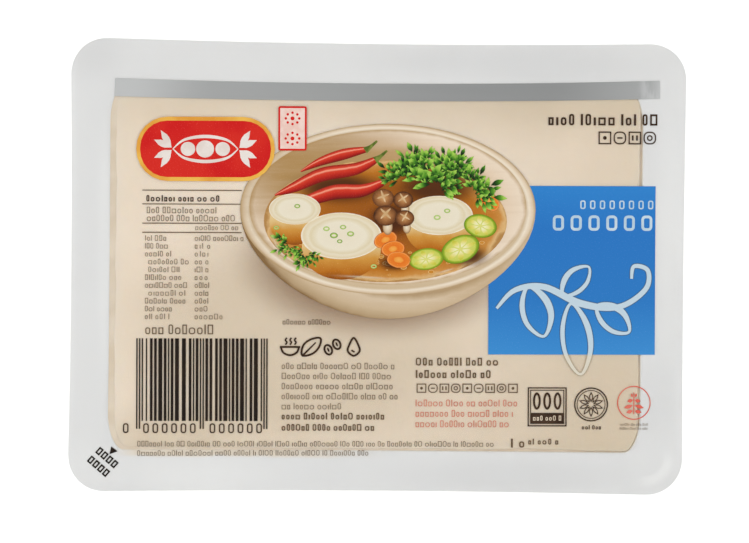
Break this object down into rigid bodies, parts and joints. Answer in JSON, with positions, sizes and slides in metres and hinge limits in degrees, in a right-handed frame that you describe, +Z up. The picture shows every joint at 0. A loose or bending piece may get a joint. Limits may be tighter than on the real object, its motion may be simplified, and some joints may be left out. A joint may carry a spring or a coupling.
{
  "type": "sealed tray pack of silken tofu",
  "caption": "Shallow translucent plastic tub with a wide flange, filled by a cream block of silken tofu and sealed under a clear printed film.",
  "frame": {"origin": "middle of the flange's outline, at the height of the surface that the foot stands on", "axes": "+Z up out of the film, +X along the long side, +Y along the short side"},
  "size_m": [0.148, 0.109, 0.0309],
  "materials": {
    "frosted_plastic": "milky translucent moulded plastic with a soft sheen",
    "tofu": "moist set bean curd, smooth, cream and a little see-through",
    "clear_film": "clear glossy lidding film",
    "silver_ink": "silver grey print, half see-through",
    "blue_ink": "bright blue print under gloss",
    "red_ink": "warm red print under gloss",
    "gold_ink": "golden yellow print under gloss",
    "clay_ink": "pale clay print under gloss",
    "broth_ink": "amber print under gloss",
    "dark_ink": "dark brown line print under gloss",
    "pale_ink": "off-white print under gloss",
    "green_ink": "leaf green print under gloss",
    "brown_ink": "mushroom brown print under gloss"
  },
  "bodies": {
    "root": {"tray": "frosted_plastic", "tofu": "tofu", "film": "clear_film", "print_band": "silver_ink", "print_panel": "blue_ink", "print_badge": "red_ink", "print_badge_rim": "gold_ink", "print_dish": "clay_ink", "print_broth": "broth_ink"}
  },
  "joints": []
}
